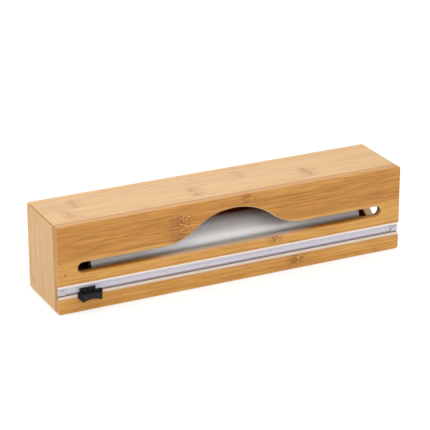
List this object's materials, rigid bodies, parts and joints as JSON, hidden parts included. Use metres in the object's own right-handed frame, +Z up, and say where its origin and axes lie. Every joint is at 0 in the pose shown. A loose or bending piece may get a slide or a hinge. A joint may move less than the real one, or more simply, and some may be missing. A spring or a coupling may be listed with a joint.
{
  "type": "cling film dispenser",
  "caption": "Bamboo box holding a roll of cling film, with a front film slot, a finger arch and a clear rail with a sliding cutter.",
  "frame": {"origin": "middle of the box's underside, on the surface that it stands on", "axes": "+X along the length towards the end with the round loading hole, +Y towards the back, +Z up; the slot and the cutter face -Y"},
  "size_m": [0.37, 0.082, 0.0885],
  "materials": {
    "bamboo": "laminated bamboo, sanded and lacquered satin",
    "clear_plastic": "extruded clear plastic, smooth",
    "adhesive_tape": "white double-sided foam tape",
    "black_plastic": "moulded black ABS, fine satin",
    "blade_steel": "ground stainless steel",
    "cardboard": "spirally wound grey card",
    "cling_film": "tightly wound stretch film, glossy"
  },
  "bodies": {
    "box": {"front_panel": "bamboo", "back_panel": "bamboo", "top_board": "bamboo", "bottom_board": "bamboo", "left_end_board": "bamboo", "right_end_board": "bamboo", "cutter_rail": "clear_plastic", "rail_tape": "adhesive_tape", "rail_stop_left": "clear_plastic", "rail_stop_right": "clear_plastic"},
    "cutter": {"cutter_grip": "black_plastic", "cutter_shoe": "black_plastic", "cutter_blade": "blade_steel"},
    "roll": {"film_core": "cardboard", "film_winding": "cling_film"}
  },
  "joints": [
    {"name": "cutter_slide", "type": "slide", "parent": "box", "child": "cutter", "axis": [1, 0, 0], "range_m": [-0.0148, 0.3231]},
    {"name": "roll_spin", "type": "hinge", "parent": "box", "child": "roll", "pos_m": [0.00415, 0.0044, 0.0303], "axis": [1, 0, 0], "continuous": true}
  ]
}
